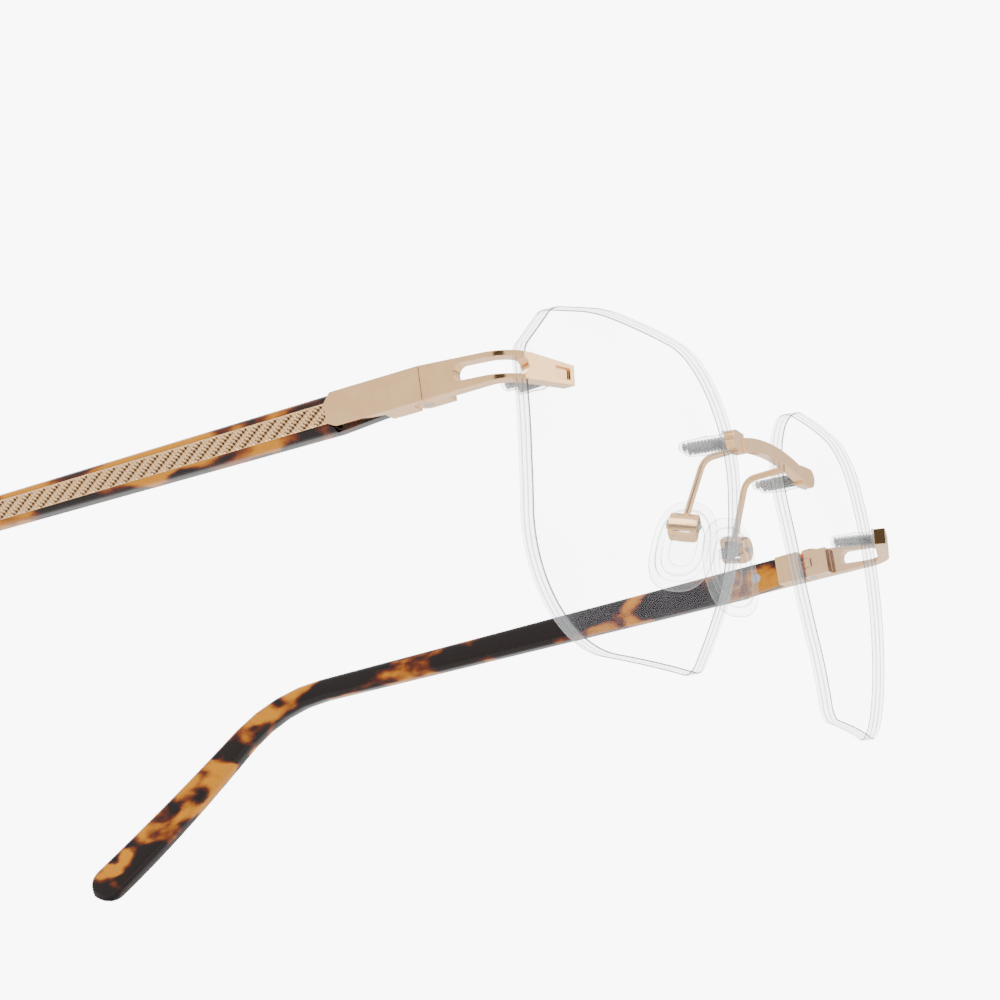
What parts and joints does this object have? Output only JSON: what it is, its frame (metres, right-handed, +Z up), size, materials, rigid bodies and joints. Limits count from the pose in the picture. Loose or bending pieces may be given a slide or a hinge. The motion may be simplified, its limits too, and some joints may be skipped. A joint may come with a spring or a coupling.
{
  "type": "rimless eyeglasses",
  "caption": "Rimless eyeglasses with drilled lenses, arched metal bridge, rocking nose pads and folding tortoiseshell temples with a twisted metal inlay.",
  "frame": {"origin": "centre of the bounding box in X and Y, at the level surface that the lower edges of the lenses and the temple tips stand on", "axes": "+X towards the wearer's left, +Y from the lenses back to the temple tips, +Z up"},
  "size_m": [0.141, 0.1688, 0.0476],
  "materials": {
    "lens": "polished, anti-reflection coated",
    "clear_plastic": "clear, glossy",
    "clear_pad": "clear, satin",
    "gold_metal": "polished champagne gold plating",
    "rope_metal": "champagne gold, engraved twisted rope pattern",
    "steel": "plain steel",
    "tortoise_acetate": "polished tortoiseshell, dark brown with amber patches"
  },
  "bodies": {
    "front": {"lens_right": "lens", "lens_left": "lens", "bridge": "gold_metal", "bridge_pins_right": "steel", "bridge_pins_left": "steel", "bridge_plug_right": "clear_plastic", "bridge_plug_left": "clear_plastic", "end_piece_right": "gold_metal", "end_piece_left": "gold_metal", "end_pins_right": "steel", "end_pins_left": "steel", "end_plug_right": "clear_plastic", "end_plug_left": "clear_plastic", "hinge_screw_right": "steel", "hinge_screw_left": "steel", "pad_arm_right": "gold_metal", "pad_arm_left": "gold_metal", "pad_box_right": "gold_metal", "pad_box_left": "gold_metal", "pad_screw_right": "steel", "pad_screw_left": "steel"},
    "nose_pad_right": {"pad_core_right": "clear_pad", "nose_pad_right": "clear_pad"},
    "nose_pad_left": {"pad_core_left": "clear_pad", "nose_pad_left": "clear_pad"},
    "temple_right": {"temple_plate_right": "gold_metal", "temple_collar_right": "gold_metal", "temple_acetate_right": "tortoise_acetate", "temple_inlay_right": "rope_metal", "temple_core_right": "steel", "temple_screw_right": "steel"},
    "temple_left": {"temple_plate_left": "gold_metal", "temple_collar_left": "gold_metal", "temple_acetate_left": "tortoise_acetate", "temple_inlay_left": "rope_metal", "temple_core_left": "steel", "temple_screw_left": "steel"}
  },
  "joints": [
    {"name": "fold_right", "type": "hinge", "parent": "front", "child": "temple_right", "pos_m": [-0.06678, -0.06353, 0.0349], "axis": [-0.0014, 0.03, 0.9995], "range_deg": [-76, 0]},
    {"name": "fold_left", "type": "hinge", "parent": "front", "child": "temple_left", "pos_m": [0.06678, -0.06353, 0.0349], "axis": [0.0014, 0.03, 0.9995], "range_deg": [0, 90]},
    {"name": "rock_right", "type": "hinge", "parent": "front", "child": "nose_pad_right", "pos_m": [-0.00972, -0.07273, 0.02523], "axis": [-0.2314, 0.9402, 0.2499], "range_deg": [-12, 12]},
    {"name": "rock_left", "type": "hinge", "parent": "front", "child": "nose_pad_left", "pos_m": [0.00972, -0.07273, 0.02523], "axis": [0.2314, 0.9402, 0.2499], "range_deg": [-12, 12]}
  ]
}
